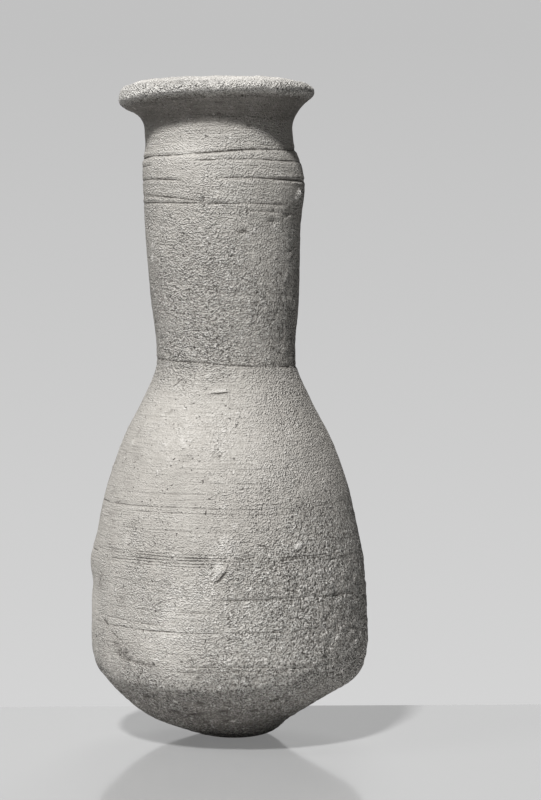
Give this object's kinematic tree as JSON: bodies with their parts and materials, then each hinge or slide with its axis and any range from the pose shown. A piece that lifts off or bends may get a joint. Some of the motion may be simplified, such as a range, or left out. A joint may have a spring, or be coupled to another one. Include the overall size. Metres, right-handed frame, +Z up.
{
  "type": "vase",
  "caption": "Small unglazed pottery vase with a baggy body on a blunt rounded base, a tall neck and a flared lip.",
  "frame": {"origin": "on the table, under the middle of the vase", "axes": "+Z up through the mouth, +X to the right and +Y away from the viewer of the front"},
  "size_m": [0.0387, 0.0386, 0.0914],
  "materials": {
    "clay": "matte, sandy, weathered"
  },
  "bodies": {
    "root": {"vase": "clay"}
  },
  "joints": []
}
